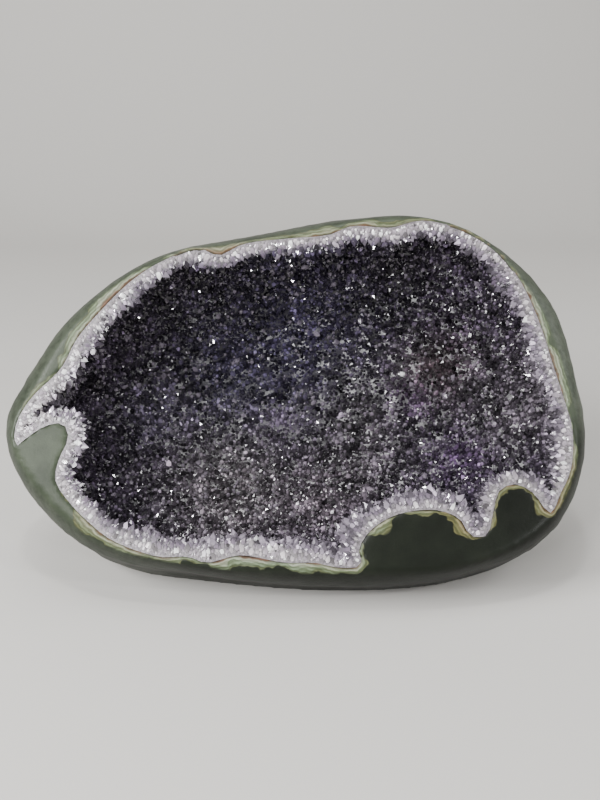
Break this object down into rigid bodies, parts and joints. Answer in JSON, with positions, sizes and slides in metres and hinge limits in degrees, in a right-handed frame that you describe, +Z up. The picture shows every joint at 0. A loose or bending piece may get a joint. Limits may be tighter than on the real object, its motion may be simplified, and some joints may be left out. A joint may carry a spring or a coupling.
{
  "type": "geode half",
  "caption": "Half of an amethyst geode: a dark green-grey basalt rind with a polished banded rim, lined with white quartz and purple crystals.",
  "frame": {"origin": "on the surface the half stands on, under the middle of its bounding box", "axes": "+Z up, +X to the right of someone who faces the opening, -Y towards them; the sawn face looks along -Y and 31 degrees up"},
  "size_m": [0.4098, 0.2188, 0.2471],
  "materials": {
    "basalt": "matte skin, polished rim",
    "quartz": "glassy crystals"
  },
  "bodies": {
    "root": {"rind": "basalt", "crystal_crust": "quartz"}
  },
  "joints": []
}
